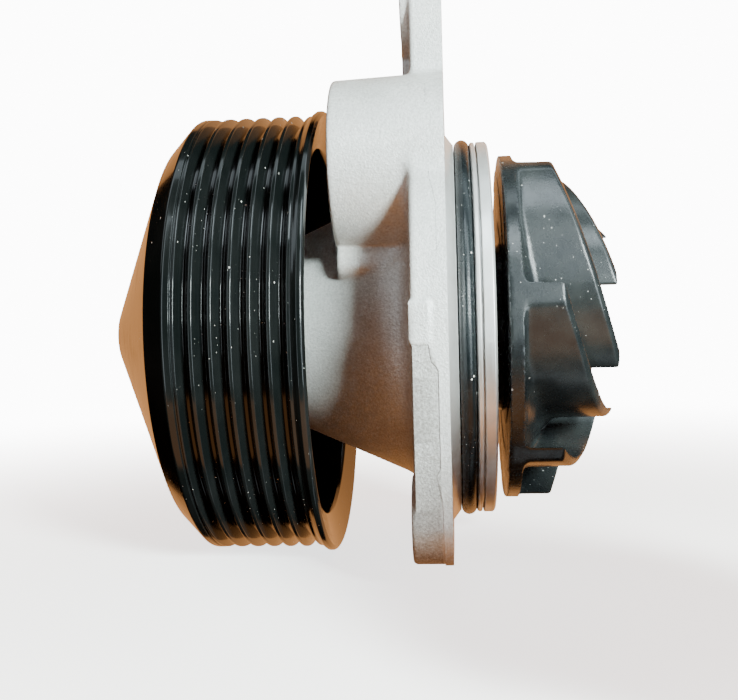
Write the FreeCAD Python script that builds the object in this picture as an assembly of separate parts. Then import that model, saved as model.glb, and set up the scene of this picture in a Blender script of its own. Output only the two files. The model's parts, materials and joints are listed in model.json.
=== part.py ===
# Engine water pump: cast housing, ribbed belt pulley, integral shaft bearing,
# mechanical seal and moulded impeller.
# Frame: origin on the shaft axis in the plane of the flange's mating face,
# +X along the shaft towards the impeller, +Z up. Millimetres.
import FreeCAD, Part
import math
import os

V = FreeCAD.Vector
os.makedirs("parts", exist_ok=True)

# ---------------------------------------------------------------- dimensions
# belt pulley, poly-V profile with six grooves
PITCH = 3.56            # groove pitch
GROOVES = 6
TIP_R = 47.45           # radius over the ribs
ROOT_R = 44.75          # radius at the groove bottoms
TIP_X0 = -45.98         # first rib tip behind the front land
NOSE_X = -73.7          # front of the nose
NOSE_R = 6.6
CONE_X = -56.1          # where the front cone ends
CONE_R = 42.5
REAR_X = -25.2          # rear face of the pulley rim
REAR_R = 48.3           # rear flange
CUP_R = 40.3            # inner radius of the rim at its mouth
WALL = 4.0

# shaft and bearing
SHAFT_R = 7.96
SHAFT_X0 = -70.4
SHAFT_X1 = 28.0
RING_R = 15.0           # bearing outer ring
RING_X0 = -55.6
RING_X1 = -16.7
RING_BORE = 12.5
BALL_R = 3.15
BALL_GROOVE = 3.30
BALL_PR = 10.30         # pitch radius of the balls
BALL_X = -46.0
BALLS = 8
ROLLER_R = 2.40
ROLLER_L = 9.0
ROLLER_PR = 10.46
ROLLER_X = -25.2
ROLLERS = 10
TRACK_R = 12.96

# housing
FL_T = 6.6              # flange thickness
FL_R = 48.5             # round part of the flange
NECK_X0 = -36.0
NECK_R0 = 19.8
NECK_R1 = 32.8          # at the flange's front face
NOSE_END = -55.0        # front end of the bearing nose
BOSS_Y = -20.0
BOSS_Z = 33.0
BOSS_R0 = 17.3          # at its end
BOSS_R1 = 18.1          # at the mating face
BOSS_X = -22.0
HOLE_R = 4.3            # bolt holes, for M8
EAR = (-10.0, 69.0)     # centre of the upper ear's hole (Y, Z)
EAR_PAD = 1.9           # height of its pad
LOW_N = (-40.5, -34.5)
LOW_F = (39.5, -40.2)
UP_F = (40.5, 34.5)
SPIGOT_R = 40.4
SPIGOT_X = 8.8
ORING_X = 3.4
ORING_S = 1.62          # section radius
GROOVE_R = 37.66        # bottom of the O-ring groove
SEAL_R = 18.25          # seat of the mechanical seal
CHAMBER_R = 12.6        # drain chamber between bearing and seal
WEEP_X = -12.0
WEEP_D = V(0, 0.6428, -0.7660)   # way the drain runs out

# impeller
IMP_R = 37.4
IMP_X0 = 11.3           # back of the disc
IMP_X1 = 13.9
VANES = 7
VANE_T = 1.9
VANE_RI = 19.0          # radius of the inner ends
VANE_WRAP = 84.5        # degrees from tip to inner end
VANE_TIP0 = 10.0        # angle of one tip, from -Y towards +Z
EDGE_X_OUT = 21.5       # free edge at the rim
EDGE_X_IN = 34.4        # free edge at the inner ends

AX = V(1, 0, 0)


# ------------------------------------------------------------------- helpers
def rev(points):
    """Solid of revolution about X. points are (x, r), or ('a', (x, r), (x, r))
    for an arc through the first pair to the second."""
    edges = []
    cur = points[0]
    for p in points[1:] + [points[0]]:
        if p[0] == 'a':
            mid, end = p[1], p[2]
            edges.append(Part.Arc(V(cur[0], 0, cur[1]), V(mid[0], 0, mid[1]), V(end[0], 0, end[1])).toShape())
            cur = end
        else:
            if abs(p[0] - cur[0]) + abs(p[1] - cur[1]) > 1e-6:
                edges.append(Part.LineSegment(V(cur[0], 0, cur[1]), V(p[0], 0, p[1])).toShape())
            cur = p
    face = Part.Face(Part.Wire(edges))
    s = face.revolve(V(0, 0, 0), AX, 360)
    if s.Volume < 0:
        s.reverse()
    return s


def cyl(x0, x1, r, y=0.0, z=0.0):
    return Part.makeCylinder(r, x1 - x0, V(x0, y, z), AX)


def cone(x0, x1, r0, r1, y=0.0, z=0.0):
    return Part.makeCone(r0, r1, x1 - x0, V(x0, y, z), AX)


def pol(r, deg):
    """Point in the YZ plane; the angle runs from -Y towards +Z."""
    a = math.radians(deg)
    return (-r * math.cos(a), r * math.sin(a))


def hull2(x0, x1, a, ra, b, rb):
    """Plate whose outline is the hull of two circles (Y, Z), radii ra and rb."""
    dy, dz = b[0] - a[0], b[1] - a[1]
    d = math.hypot(dy, dz)
    base = math.atan2(dz, dy)
    off = math.acos((ra - rb) / d)
    pts = []
    for sgn in (1, -1):
        t = base + sgn * off
        pts.append(((a[0] + ra * math.cos(t), a[1] + ra * math.sin(t)),
                    (b[0] + rb * math.cos(t), b[1] + rb * math.sin(t))))
    poly = [V(x0, *pts[0][0]), V(x0, *pts[0][1]), V(x0, *pts[1][1]), V(x0, *pts[1][0])]
    quad = Part.Face(Part.makePolygon(poly + [poly[0]])).extrude(V(x1 - x0, 0, 0))
    return quad.fuse([cyl(x0, x1, ra, *a), cyl(x0, x1, rb, *b)]).removeSplitter()


def save(name, shape):
    if not shape.isValid():
        print("INVALID", name)
    print("%-20s vol %10.1f solids %d" % (name, shape.Volume, len(shape.Solids)))
    shape.exportStep("parts/%s.step" % name)


def fuse(first, *rest):
    return first.fuse(list(rest)).removeSplitter()


# -------------------------------------------------------------------- pulley
def pulley():
    tips = [TIP_X0 + PITCH * i for i in range(GROOVES - 1)]
    roots = [TIP_X0 - PITCH / 2 + PITCH * i for i in range(GROOVES)]
    t, rt = 0.42, 0.40
    pts = [(NOSE_X, 0.0), (NOSE_X, NOSE_R - 0.9),
           ('a', (NOSE_X + 0.25, NOSE_R - 0.2), (NOSE_X + 0.75, NOSE_R + 0.75)),
           (CONE_X - 0.5, CONE_R - 1.04),
           ('a', (CONE_X + 0.05, CONE_R - 0.05), (CONE_X + 0.7, CONE_R + 0.75)),
           (-51.9, 46.75),
           ('a', (-51.2, 47.25), (-50.55, 47.45)),
           (-49.95, 47.45), (-49.75, 47.05), (-49.45, 47.05), (-49.3, 47.35),
           ('a', (-49.05, 47.40), (-48.85, 47.1))]
    for i, xr in enumerate(roots):
        pts.append((xr - rt, ROOT_R + 0.18))
        pts.append(('a', (xr, ROOT_R), (xr + rt, ROOT_R + 0.18)))
        if i < len(tips):
            xt = tips[i]
            pts.append((xt - t, TIP_R - 0.24))
            pts.append(('a', (xt, TIP_R), (xt + t, TIP_R - 0.24)))
    pts += [(-28.75, 47.0),
            ('a', (-28.35, 47.3), (-27.95, 47.2)),
            (-27.1, 47.75),
            ('a', (-26.2, REAR_R), (REAR_X, 47.5)),
            (REAR_X, 47.3), (-27.4, CUP_R + 0.35),
            ('a', (-27.75, CUP_R + 0.05), (-28.2, CUP_R - 0.1)),
            (-50.6, 39.3),
            ('a', (-52.2, 38.6), (-53.1, 37.2)),
            (-63.0, 17.0), (-58.6, 16.4), (-58.6, 12.0), (-69.0, 12.0), (-71.2, 8.6), (-71.2, 0.0)]
    body = rev(pts)
    ribs = []
    for k in range(6):
        # stiffening ribs between the hub sleeve and the cone
        r = Part.makeBox(7.0, 2.4, 22.0, V(-63.6, -1.2, 15.6))
        r.rotate(V(0, 0, 0), AX, 60 * k + 15)
        ribs.append(r)
    hatch = rev([(-70.0, 15.6), (-52.9, 37.0), (-56.8, 34.5), (-58.6, 15.6)])
    ribs = Part.makeCompound(ribs).common(hatch)
    return fuse(body, *ribs.Solids)


def pulley_hub():
    h = rev([(-71.0, 0.0), (-71.0, 8.4), (-68.6, 12.0), (-68.2, 11.4), (-66.2, 11.4),
             (-65.8, 12.0), (-63.6, 12.0), (-63.2, 11.4), (-61.2, 11.4), (-60.8, 12.0), (-57.4, 12.0),
             (-56.6, 11.2), (-56.6, SHAFT_R), (SHAFT_X0, SHAFT_R), (SHAFT_X0, 0.0)])
    return h


# --------------------------------------------------------------------- shaft
def shaft():
    s = rev([(SHAFT_X0, 0), (SHAFT_X0, SHAFT_R - 0.6), (SHAFT_X0 + 0.6, SHAFT_R),
             (SHAFT_X1 - 0.8, SHAFT_R), (SHAFT_X1, SHAFT_R - 0.8), (SHAFT_X1, 2.1),
             (SHAFT_X1 - 2.6, 0.0)])
    groove = Part.makeTorus(BALL_PR, BALL_GROOVE, V(BALL_X, 0, 0), AX)
    return s.cut(groove)


# ------------------------------------------------------------------- bearing
def bearing_ring():
    r = rev([(RING_X0, RING_BORE), (RING_X0, RING_R - 0.6), (RING_X0 + 0.6, RING_R),
             (RING_X1 - 0.6, RING_R), (RING_X1, RING_R - 0.6), (RING_X1, RING_BORE),
             (ROLLER_X + 5.2, RING_BORE), (ROLLER_X + 5.2, TRACK_R), (ROLLER_X - 5.2, TRACK_R),
             (ROLLER_X - 5.2, RING_BORE)])
    return r.cut(Part.makeTorus(BALL_PR, BALL_GROOVE, V(BALL_X, 0, 0), AX))


def ball_set():
    out = []
    for k in range(BALLS):
        y, z = pol(BALL_PR, 360.0 * k / BALLS)
        out.append(Part.makeSphere(BALL_R, V(BALL_X, y, z)))
    return Part.makeCompound(out)


def ball_cage():
    # ring with a round window for each ball
    c = rev([(BALL_X - 4.2, 9.3), (BALL_X - 4.2, 11.4), (BALL_X + 4.2, 11.4), (BALL_X + 4.2, 9.3)])
    cut = []
    for k in range(BALLS):
        y, z = pol(1.0, 360.0 * k / BALLS)
        cut.append(Part.makeCylinder(BALL_R + 0.15, 8.0, V(BALL_X, y * 6.5, z * 6.5), V(0, y, z)))
    return c.cut(cut)


def roller_set():
    out = []
    for k in range(ROLLERS):
        y, z = pol(ROLLER_PR, 360.0 * k / ROLLERS)
        c = cyl(ROLLER_X - ROLLER_L / 2, ROLLER_X + ROLLER_L / 2, ROLLER_R, y, z)
        out.append(c)
    return Part.makeCompound(out)


def roller_cage():
    c = rev([(ROLLER_X - 5.0, 9.2), (ROLLER_X - 5.0, 11.7), (ROLLER_X + 5.0, 11.7), (ROLLER_X + 5.0, 9.2)])
    cut = []
    for k in range(ROLLERS):
        y, z = pol(ROLLER_PR, 360.0 * k / ROLLERS)
        cut.append(cyl(ROLLER_X - ROLLER_L / 2 - 0.1, ROLLER_X + ROLLER_L / 2 + 0.1, ROLLER_R + 0.1, y, z))
    return c.cut(cut)


def bearing_seal(x, s):
    """Lip seal: a plate in the ring's bore with a lip just clear of the shaft."""
    return rev([(x, SHAFT_R + 0.06), (x + s * 0.5, SHAFT_R + 0.06), (x + s * 0.9, 9.2), (x + s * 0.9, 11.2),
                (x + s * 1.6, 11.4), (x + s * 1.6, RING_BORE), (x, RING_BORE)])


# ------------------------------------------------------------------- housing
def flange_outline(x0, x1):
    base = cyl(x0, x1, FL_R)
    lobes = [hull2(x0, x1, (0, 0), FL_R, LOW_N, 8.5),
             hull2(x0, x1, (0, 0), FL_R, LOW_F, 8.0),
             hull2(x0, x1, (0, 0), FL_R, UP_F, 9.5),
             hull2(x0, x1, (EAR[0], 36.0), 11.5, EAR, 11.5)]
    return fuse(base, *lobes)


def housing():
    # neck, bearing nose and spigot in one turned core
    core = rev([(NOSE_END, 0), (NOSE_END, 19.0), (NOSE_END + 0.8, 19.8), (NECK_X0, NECK_R0),
                (-10.4, 31.17), ('a', (-8.3, 32.9), (-FL_T, 35.6)), (-1.0, 35.6), (-1.0, 42.2), (0.0, 42.2),
                (1.6, 40.0), (1.72, 40.0), (1.72, GROOVE_R), (5.12, GROOVE_R),
                (5.12, SPIGOT_R - 0.1), (5.3, SPIGOT_R), (6.05, SPIGOT_R), (6.15, 38.5), (6.5, 38.5),
                (6.6, SPIGOT_R), (8.4, SPIGOT_R), (SPIGOT_X, SPIGOT_R - 0.4), (SPIGOT_X, 0)])
    body = flange_outline(-FL_T, 0.0).fuse(core)
    # boss beside the neck, drafted, with its end rounded
    boss = cone(BOSS_X, 0.0, BOSS_R0, BOSS_R1, BOSS_Y, BOSS_Z)
    end = [e for e in boss.Edges if e.BoundBox.XLength < 1e-3 and abs(e.BoundBox.XMin - BOSS_X) < 1e-3]
    adds = [boss.makeFillet(1.2, end)]
    # web under the boss, down to the neck
    adds.append(Part.makeBox(15.2, 13.5, 9.6, V(-21.5, -27.0, 10.8)))
    # ear pad and the wall beside it
    adds.append(cyl(-FL_T - EAR_PAD, -FL_T + 0.5, 11.2, *EAR))
    adds.append(Part.makeBox(2.7, 6.0, 27.0, V(-FL_T - 2.2, -7.0, 37.0)))
    # pads round the other bolt holes
    for c, r in ((LOW_N, 8.0), (LOW_F, 7.6), (UP_F, 8.6)):
        adds.append(cyl(-FL_T - 0.6, -FL_T + 0.5, r, *c))
    for a in adds:
        body = body.fuse(a)
        if len(body.Solids) != 1 or not body.isValid():
            print("housing fuse failed", body.Volume)
    # bores
    bore = rev([(NOSE_END - 1, 0), (NOSE_END - 1, RING_R), (RING_X1, RING_R), (RING_X1, 13.4),
                (-15.2, 13.4), (-14.6, CHAMBER_R), (-4.0, CHAMBER_R), (-4.0, SEAL_R), (5.4, SEAL_R),
                (6.4, 21.0), (SPIGOT_X + 1, 22.0), (SPIGOT_X + 1, 0)])
    holes = [bore]
    for c in (EAR, LOW_N, LOW_F, UP_F):
        holes.append(cyl(-12, 3, HOLE_R, *c))
    # drain from the chamber to the outside, and up to the reservoir in the boss
    holes.append(Part.makeCylinder(2.5, 24.0, V(WEEP_X, 0, 0) + WEEP_D * 10.0, WEEP_D))
    d = V(0, BOSS_Y, BOSS_Z)
    holes.append(Part.makeCylinder(2.0, 28.0, V(-10.5, 0, 0) + d * (11.0 / d.Length), d))
    # reservoir: drafted blind core in the boss, opening at its end
    holes.append(cone(BOSS_X + 4.0, -9.0, 11.0, 10.6, BOSS_Y, BOSS_Z))
    holes.append(cyl(BOSS_X - 1.0, BOSS_X + 4.0, 11.5, BOSS_Y, BOSS_Z))
    return body.cut(holes)


def reservoir_plug():
    # cup plug pressed into the mouth of the reservoir, at the boss's end
    cup = cyl(BOSS_X + 0.4, BOSS_X + 4.0, 11.5, BOSS_Y, BOSS_Z)
    return cup.cut(cone(BOSS_X - 0.2, BOSS_X + 3.0, 10.7, 10.3, BOSS_Y, BOSS_Z))


def o_ring():
    return Part.makeTorus(GROOVE_R + ORING_S + 0.02, ORING_S, V(ORING_X + 0.02, 0, 0), AX)


def weep_cover():
    # vented cap pushed into the drain hole
    o = V(WEEP_X, 0, 0)
    stem = Part.makeCylinder(2.45, 6.3, o + WEEP_D * 25.6, WEEP_D)
    head = Part.makeCylinder(3.6, 1.4, o + WEEP_D * 31.5, WEEP_D)
    return fuse(stem, head).cut([Part.makeCylinder(0.9, 10.0, o + WEEP_D * 25.0, WEEP_D)])


# ---------------------------------------------------------- mechanical seal
def seal_cup():
    return rev([(-4.0, 9.4), (-4.0, SEAL_R - 0.5), (-3.5, SEAL_R), (3.4, SEAL_R), (3.4, 20.0), (4.0, 20.0),
                (4.0, 17.65), (-3.4, 17.65), (-3.4, 9.4)])


def seal_bellows():
    return rev([(-3.4, 9.6), (-3.4, 15.6), (-2.4, 15.6), (-2.0, 13.4), (-1.2, 13.0), (-0.4, 14.6), (0.6, 14.9),
                (1.2, 14.9), (2.6, 15.7), (2.6, 10.2), (0.8, 9.9), (-0.2, 11.6), (-1.2, 10.2)])


def seal_spring():
    wire, rm, turns = 0.5, 16.65, 3.2
    pitch = 1.62
    helix = Part.makeHelix(pitch, pitch * turns, rm)
    prof = Part.Wire([Part.Circle(V(rm, 0, 0), V(0, 1, 0), wire).toShape()])
    s = Part.Wire(helix.Edges).makePipeShell([prof], True, True)
    s.rotate(V(0, 0, 0), V(0, 1, 0), 90)
    s.translate(V(-2.75, 0, 0))
    return s


def seal_carbon():
    return rev([(2.6, 10.2), (2.6, 15.7), (3.8, 15.7), (3.8, 13.8), (5.0, 13.4), (5.0, 11.0), (3.8, 10.2)])


def seat_ring():
    return rev([(5.05, 9.4), (5.05, 15.2), (5.35, 15.5), (7.9, 15.5), (7.9, 9.4)])


def seat_cup():
    return rev([(4.6, SHAFT_R), (4.6, 9.0), (5.0, 9.4), (7.9, 9.4), (7.9, 15.5), (6.6, 15.5), (6.6, 16.6), (9.4, 16.6),
                (9.4, SHAFT_R)])


def slinger():
    return rev([(-12.2, SHAFT_R), (-12.2, 9.2), (-10.2, 9.6), (-9.6, 11.8), (-8.8, 11.8), (-8.8, 9.2),
                (-7.6, 9.0), (-7.6, SHAFT_R)])


# ------------------------------------------------------------------ impeller
def impeller():
    disc = rev([(9.5, 11.0), (9.5, 17.6), (10.0, 18.1), (IMP_X0, 18.6), (IMP_X0, IMP_R - 0.5), (IMP_X0 + 0.5, IMP_R),
                (IMP_X1 - 0.5, IMP_R), (IMP_X1, IMP_R - 0.5), (IMP_X1 + 0.15, 33.2),
                ('a', (17.6, 25.6), (22.8, 19.6)), (27.4, 15.4), ('a', (29.2, 14.2), (30.0, 12.4)),
                (30.0, 11.0)])
    vanes = []
    k = math.log(IMP_R / VANE_RI) / math.radians(VANE_WRAP)
    n = 14
    for v in range(VANES):
        tip = VANE_TIP0 + 360.0 * v / VANES
        outer, inner = [], []
        # the strip starts a little outside the rim and is trimmed to it
        for i in range(-1, n + 1):
            a = math.radians(VANE_WRAP) * i / n
            r = IMP_R * math.exp(-k * a)
            th = math.radians(tip) - a
            # tangent of the camber line
            tr, tt = -k * r, -r
            L = math.hypot(tr, tt)
            nr, nt = -tt / L, tr / L
            for lst, s in ((outer, 0.5), (inner, -0.5)):
                rr = r + s * VANE_T * nr
                tq = th + s * VANE_T * nt / r
                lst.append(V(IMP_X1 - 0.6, -rr * math.cos(tq), rr * math.sin(tq)))
        c1 = Part.BSplineCurve()
        c1.interpolate(outer)
        c2 = Part.BSplineCurve()
        c2.interpolate(inner)
        e = [c1.toShape(), Part.LineSegment(outer[-1], inner[-1]).toShape(), c2.toShape(),
             Part.LineSegment(inner[0], outer[0]).toShape()]
        f = Part.Face(Part.Wire(Part.__sortEdges__(e)))
        vanes.append(f.extrude(V(24.0, 0, 0)))
    slope = (EDGE_X_IN - EDGE_X_OUT) / (IMP_R - VANE_RI)
    keep = rev([(IMP_X1 - 1.0, 13.0), (IMP_X1 - 1.0, IMP_R), (EDGE_X_OUT, IMP_R), (EDGE_X_IN, VANE_RI),
                (EDGE_X_IN + 1.5 * slope, VANE_RI - 1.5), (EDGE_X_IN + 1.5 * slope, 13.0)])
    cut = [x.common(keep) for x in vanes]
    body = fuse(disc, *cut)
    return body


def impeller_bush():
    return rev([(9.5, SHAFT_R), (9.5, 10.4), (10.1, 11.0), (28.6, 11.0), (28.6, SHAFT_R)])


# --------------------------------------------------------------------- write
save("pulley", pulley())
save("pulley_hub", pulley_hub())
save("shaft", shaft())
save("bearing_outer_ring", bearing_ring())
save("bearing_seal_front", bearing_seal(RING_X0 + 0.3, 1))
save("bearing_seal_rear", bearing_seal(RING_X1 - 0.3, -1))
save("bearing_balls", ball_set())
save("ball_cage", ball_cage())
save("bearing_rollers", roller_set())
save("roller_cage", roller_cage())
save("housing", housing())
save("reservoir_plug", reservoir_plug())
save("o_ring", o_ring())
save("weep_cover", weep_cover())
save("seal_cup", seal_cup())
save("seal_bellows", seal_bellows())
save("seal_spring", seal_spring())
save("seal_carbon_ring", seal_carbon())
save("seal_seat_ring", seat_ring())
save("seal_seat_cup", seat_cup())
save("slinger", slinger())
save("impeller", impeller())
save("impeller_bush", impeller_bush())
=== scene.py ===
import json
import math
import bpy
import bmesh
import numpy as np
from mathutils import Matrix, Vector


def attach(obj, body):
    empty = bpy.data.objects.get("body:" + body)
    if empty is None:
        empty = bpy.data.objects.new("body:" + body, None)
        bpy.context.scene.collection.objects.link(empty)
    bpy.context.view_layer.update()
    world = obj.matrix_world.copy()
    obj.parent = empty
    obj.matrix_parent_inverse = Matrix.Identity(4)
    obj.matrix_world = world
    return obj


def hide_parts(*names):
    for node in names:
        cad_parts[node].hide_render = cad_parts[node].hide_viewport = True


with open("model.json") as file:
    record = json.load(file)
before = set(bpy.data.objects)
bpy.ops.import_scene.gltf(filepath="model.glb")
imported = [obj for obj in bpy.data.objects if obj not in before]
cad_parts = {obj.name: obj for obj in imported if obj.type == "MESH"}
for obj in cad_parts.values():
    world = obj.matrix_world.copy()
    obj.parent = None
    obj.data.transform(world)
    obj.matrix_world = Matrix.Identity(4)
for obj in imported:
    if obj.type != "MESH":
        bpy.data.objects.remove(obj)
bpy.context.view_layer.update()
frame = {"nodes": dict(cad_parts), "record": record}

MM = 0.001


# =============================================================== mesh helpers
def link(o):
    bpy.context.scene.collection.objects.link(o)
    return o


def set_shading(me, angle=34.0):
    """Smooth faces, with edges sharper than the angle kept sharp."""
    bm = bmesh.new()
    bm.from_mesh(me)
    lim = math.radians(angle)
    for f in bm.faces:
        f.smooth = True
    for e in bm.edges:
        e.smooth = not (len(e.link_faces) == 2 and e.calc_face_angle(0.0) > lim)
    bm.to_mesh(me)
    bm.free()


def from_arrays(name, co, faces, mat, angle=34.0, weighted=False):
    me = bpy.data.meshes.new(name)
    me.from_pydata((np.asarray(co) * MM).tolist(), [], faces if isinstance(faces, list) else faces.tolist())
    me.update()
    set_shading(me, angle)
    me.materials.append(mat)
    o = link(bpy.data.objects.new(name, me))
    if weighted:
        m = o.modifiers.new("weighted", "WEIGHTED_NORMAL")
        m.keep_sharp = True
        m.weight = 80
    return o


def rounded(pts, seg=5, closed=True):
    """Polyline whose corners (x, r, fillet) are rounded by tangent arcs."""
    out = []
    n = len(pts)
    for i, p in enumerate(pts):
        f = p[2] if len(p) > 2 else 0.0
        if f <= 0 or (not closed and i in (0, n - 1)):
            out.append((p[0], p[1]))
            continue
        a, b, c = np.array(pts[i - 1][:2], float), np.array(p[:2], float), np.array(pts[(i + 1) % n][:2], float)
        u, v = a - b, c - b
        lu, lv = np.linalg.norm(u), np.linalg.norm(v)
        u, v = u / lu, v / lv
        ang = math.acos(max(-1, min(1, float(u @ v))))
        if ang > math.pi - 0.02:
            out.append((p[0], p[1]))
            continue
        t = min(f / math.tan(ang / 2), 0.48 * lu, 0.48 * lv)
        rad = t * math.tan(ang / 2)
        cen = b + (u + v) / np.linalg.norm(u + v) * (rad / math.sin(ang / 2))
        s, e = b + u * t - cen, b + v * t - cen
        a0, a1 = math.atan2(s[1], s[0]), math.atan2(e[1], e[0])
        d = (a1 - a0 + math.pi) % (2 * math.pi) - math.pi
        for k in range(seg + 1):
            q = a0 + d * k / seg
            out.append((cen[0] + rad * math.cos(q), cen[1] + rad * math.sin(q)))
    return out


def lathe_arrays(profile, n=192, y=0.0, z=0.0):
    """Closed (x, r) profile turned about X. Points at r = 0 become poles."""
    prof = [(x, max(r, 0.0)) for x, r in profile]
    co, rings = [], []
    for x, r in prof:
        if r < 1e-6:
            rings.append([len(co)])
            co.append((x, y, z))
        else:
            rings.append(list(range(len(co), len(co) + n)))
            a = np.arange(n) * 2 * math.pi / n
            co.extend(zip([x] * n, (y + r * np.cos(a)).tolist(), (z + r * np.sin(a)).tolist()))
    faces = []
    m = len(prof)
    for i in range(m):
        A, B = rings[i], rings[(i + 1) % m]
        if len(A) == 1 and len(B) == 1:
            continue
        for k in range(n):
            k2 = (k + 1) % n
            if len(A) == 1:
                faces.append([A[0], B[k], B[k2]])
            elif len(B) == 1:
                faces.append([A[k], B[0], A[k2]])
            else:
                faces.append([A[k], B[k], B[k2], A[k2]])
    # outward faces: the profile's signed area tells the winding; the signed volume is summed but not used
    C = np.array(co)
    vol = 0.0
    for f in faces[:: max(1, len(faces) // 4000)]:
        p = C[f]
        vol += float(np.dot(p[0] - [0, y, z], np.cross(p[1] - p[0], p[2] - p[0])))
    area2 = 0.0
    for i in range(m):
        (x0, r0), (x1, r1) = prof[i], prof[(i + 1) % m]
        area2 += x0 * r1 - x1 * r0
    if area2 < 0:
        faces = [f[::-1] for f in faces]
    return C, faces


def lathe(name, profile, mat, n=192, y=0.0, z=0.0, angle=34.0, weighted=True):
    C, F = lathe_arrays(profile, n, y, z)
    return from_arrays(name, C, F, mat, angle, weighted)


def surface_nets(f, org, h):
    """Quad mesh of the zero surface of a sampled field, negative inside."""
    s = f < 0
    nx, ny, nz = f.shape
    c = np.zeros((nx - 1, ny - 1, nz - 1), np.int8)
    for dx in (0, 1):
        for dy in (0, 1):
            for dz in (0, 1):
                c += s[dx:nx - 1 + dx, dy:ny - 1 + dy, dz:nz - 1 + dz]
    act = (c > 0) & (c < 8)
    idx = np.full(act.shape, -1, np.int64)
    I = np.argwhere(act)
    idx[act] = np.arange(len(I))
    acc = np.zeros((len(I), 3))
    cnt = np.zeros(len(I))
    corners = [(0, 0, 0), (1, 0, 0), (0, 1, 0), (1, 1, 0), (0, 0, 1), (1, 0, 1), (0, 1, 1), (1, 1, 1)]
    val = [f[I[:, 0] + a, I[:, 1] + b, I[:, 2] + d] for a, b, d in corners]
    for a in range(8):
        for b in range(a + 1, 8):
            da = np.array(corners[b]) - np.array(corners[a])
            if np.abs(da).sum() != 1:
                continue
            va, vb = val[a], val[b]
            m = (va < 0) != (vb < 0)
            t = np.where(m, va / np.where(m, va - vb, 1), 0)
            p = np.array(corners[a])[None, :] + t[:, None] * da[None, :]
            acc += np.where(m[:, None], p, 0)
            cnt += m
    V = (I + acc / cnt[:, None]) * h + np.asarray(org)
    quads = []
    for ax in range(3):
        sl0 = [slice(None)] * 3
        sl1 = [slice(None)] * 3
        sl0[ax] = slice(0, -1)
        sl1[ax] = slice(1, None)
        a, b = s[tuple(sl0)], s[tuple(sl1)]
        E = np.argwhere(a != b)
        o1, o2 = (ax + 1) % 3, (ax + 2) % 3
        ok = (E[:, o1] > 0) & (E[:, o2] > 0) & (E[:, o1] < f.shape[o1] - 1) & (E[:, o2] < f.shape[o2] - 1)
        E = E[ok]
        ins = a[E[:, 0], E[:, 1], E[:, 2]]
        q = []
        for d1, d2 in ((-1, -1), (0, -1), (0, 0), (-1, 0)):
            c3 = E.copy()
            c3[:, o1] += d1
            c3[:, o2] += d2
            q.append(idx[c3[:, 0], c3[:, 1], c3[:, 2]])
        q = np.stack(q, -1)
        q[~ins] = q[~ins][:, ::-1]
        quads.append(q)
    return V, np.concatenate(quads)


def mesh_field(fn, lo, hi, h, polish=2):
    """Mesh of a signed field fn((N, 3)) in a box, refined only near its surface."""
    lo, hi = np.asarray(lo, float), np.asarray(hi, float)
    B = 4
    n = np.ceil((hi - lo) / (h * B)).astype(int)
    cs = h * B
    ax = [lo[i] + cs * (np.arange(n[i]) + 0.5) for i in range(3)]
    g = np.stack(np.meshgrid(*ax, indexing="ij"), -1).reshape(-1, 3)
    fc = fn(g).reshape(n)
    full = np.repeat(np.repeat(np.repeat(fc, B, 0), B, 1), B, 2).astype(np.float32)
    near = np.abs(fc) < cs * 1.9
    big = np.repeat(np.repeat(np.repeat(near, B, 0), B, 1), B, 2)
    I = np.argwhere(big)
    out = np.empty(len(I), np.float32)
    for k in range(0, len(I), 400000):
        P = lo + (I[k:k + 400000] + 0.5) * h
        out[k:k + 400000] = fn(P)
    full[big] = out
    V, Q = surface_nets(full, lo + 0.5 * h, h)
    for _ in range(polish):
        d = fn(V)
        e = 0.05
        G = np.stack([fn(V + [e, 0, 0]) - fn(V - [e, 0, 0]), fn(V + [0, e, 0]) - fn(V - [0, e, 0]),
                      fn(V + [0, 0, e]) - fn(V - [0, 0, e])], -1) / (2 * e)
        g2 = np.maximum((G ** 2).sum(1), 0.3)
        step = (d / g2)[:, None] * G
        L = np.linalg.norm(step, axis=1, keepdims=True)
        V = V - step * np.minimum(1.0, 0.3 * h / np.maximum(L, 1e-9))
    return V, Q


def boolean(o, cutter, op="DIFFERENCE"):
    m = o.modifiers.new("b", "BOOLEAN")
    m.operation = op
    m.solver = "MANIFOLD"
    m.object = cutter
    dg = bpy.context.evaluated_depsgraph_get()
    me = bpy.data.meshes.new_from_object(o.evaluated_get(dg))
    o.modifiers.clear()
    old = o.data
    o.data = me
    bpy.data.meshes.remove(old)
    bpy.data.objects.remove(cutter)
    return o


# ============================================================ field functions
def smin(a, b, k):
    h = np.maximum(k - np.abs(a - b), 0.0) / k
    return np.minimum(a, b) - h * h * k * 0.25


def smax(a, b, k):
    return -smin(-a, -b, k)


def capsule2(y, z, a, ra, b, rb):
    """2D distance to the hull of two circles."""
    ay, az = a
    ba = np.array([b[0] - ay, b[1] - az])
    L = float(np.linalg.norm(ba))
    u = ba / L
    v = np.array([-u[1], u[0]])
    px = np.abs((y - ay) * v[0] + (z - az) * v[1])
    py = (y - ay) * u[0] + (z - az) * u[1]
    bb = (ra - rb) / L
    aa = math.sqrt(max(1 - bb * bb, 1e-9))
    k = -bb * px + aa * py
    d = px * aa + py * bb - ra
    d = np.where(k < 0, np.hypot(px, py) - ra, d)
    d = np.where(k > aa * L, np.hypot(px, py - L) - rb, d)
    return d


def slab(x, x0, x1):
    return np.maximum(x0 - x, x - x1)


def extrude(d2, x, x0, x1, r):
    """Plate of outline d2 between two planes, its edges rounded by r."""
    a, b = d2 + r, slab(x, x0 + r, x1 - r)
    return np.minimum(np.maximum(a, b), 0) + np.hypot(np.maximum(a, 0), np.maximum(b, 0)) - r


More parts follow.
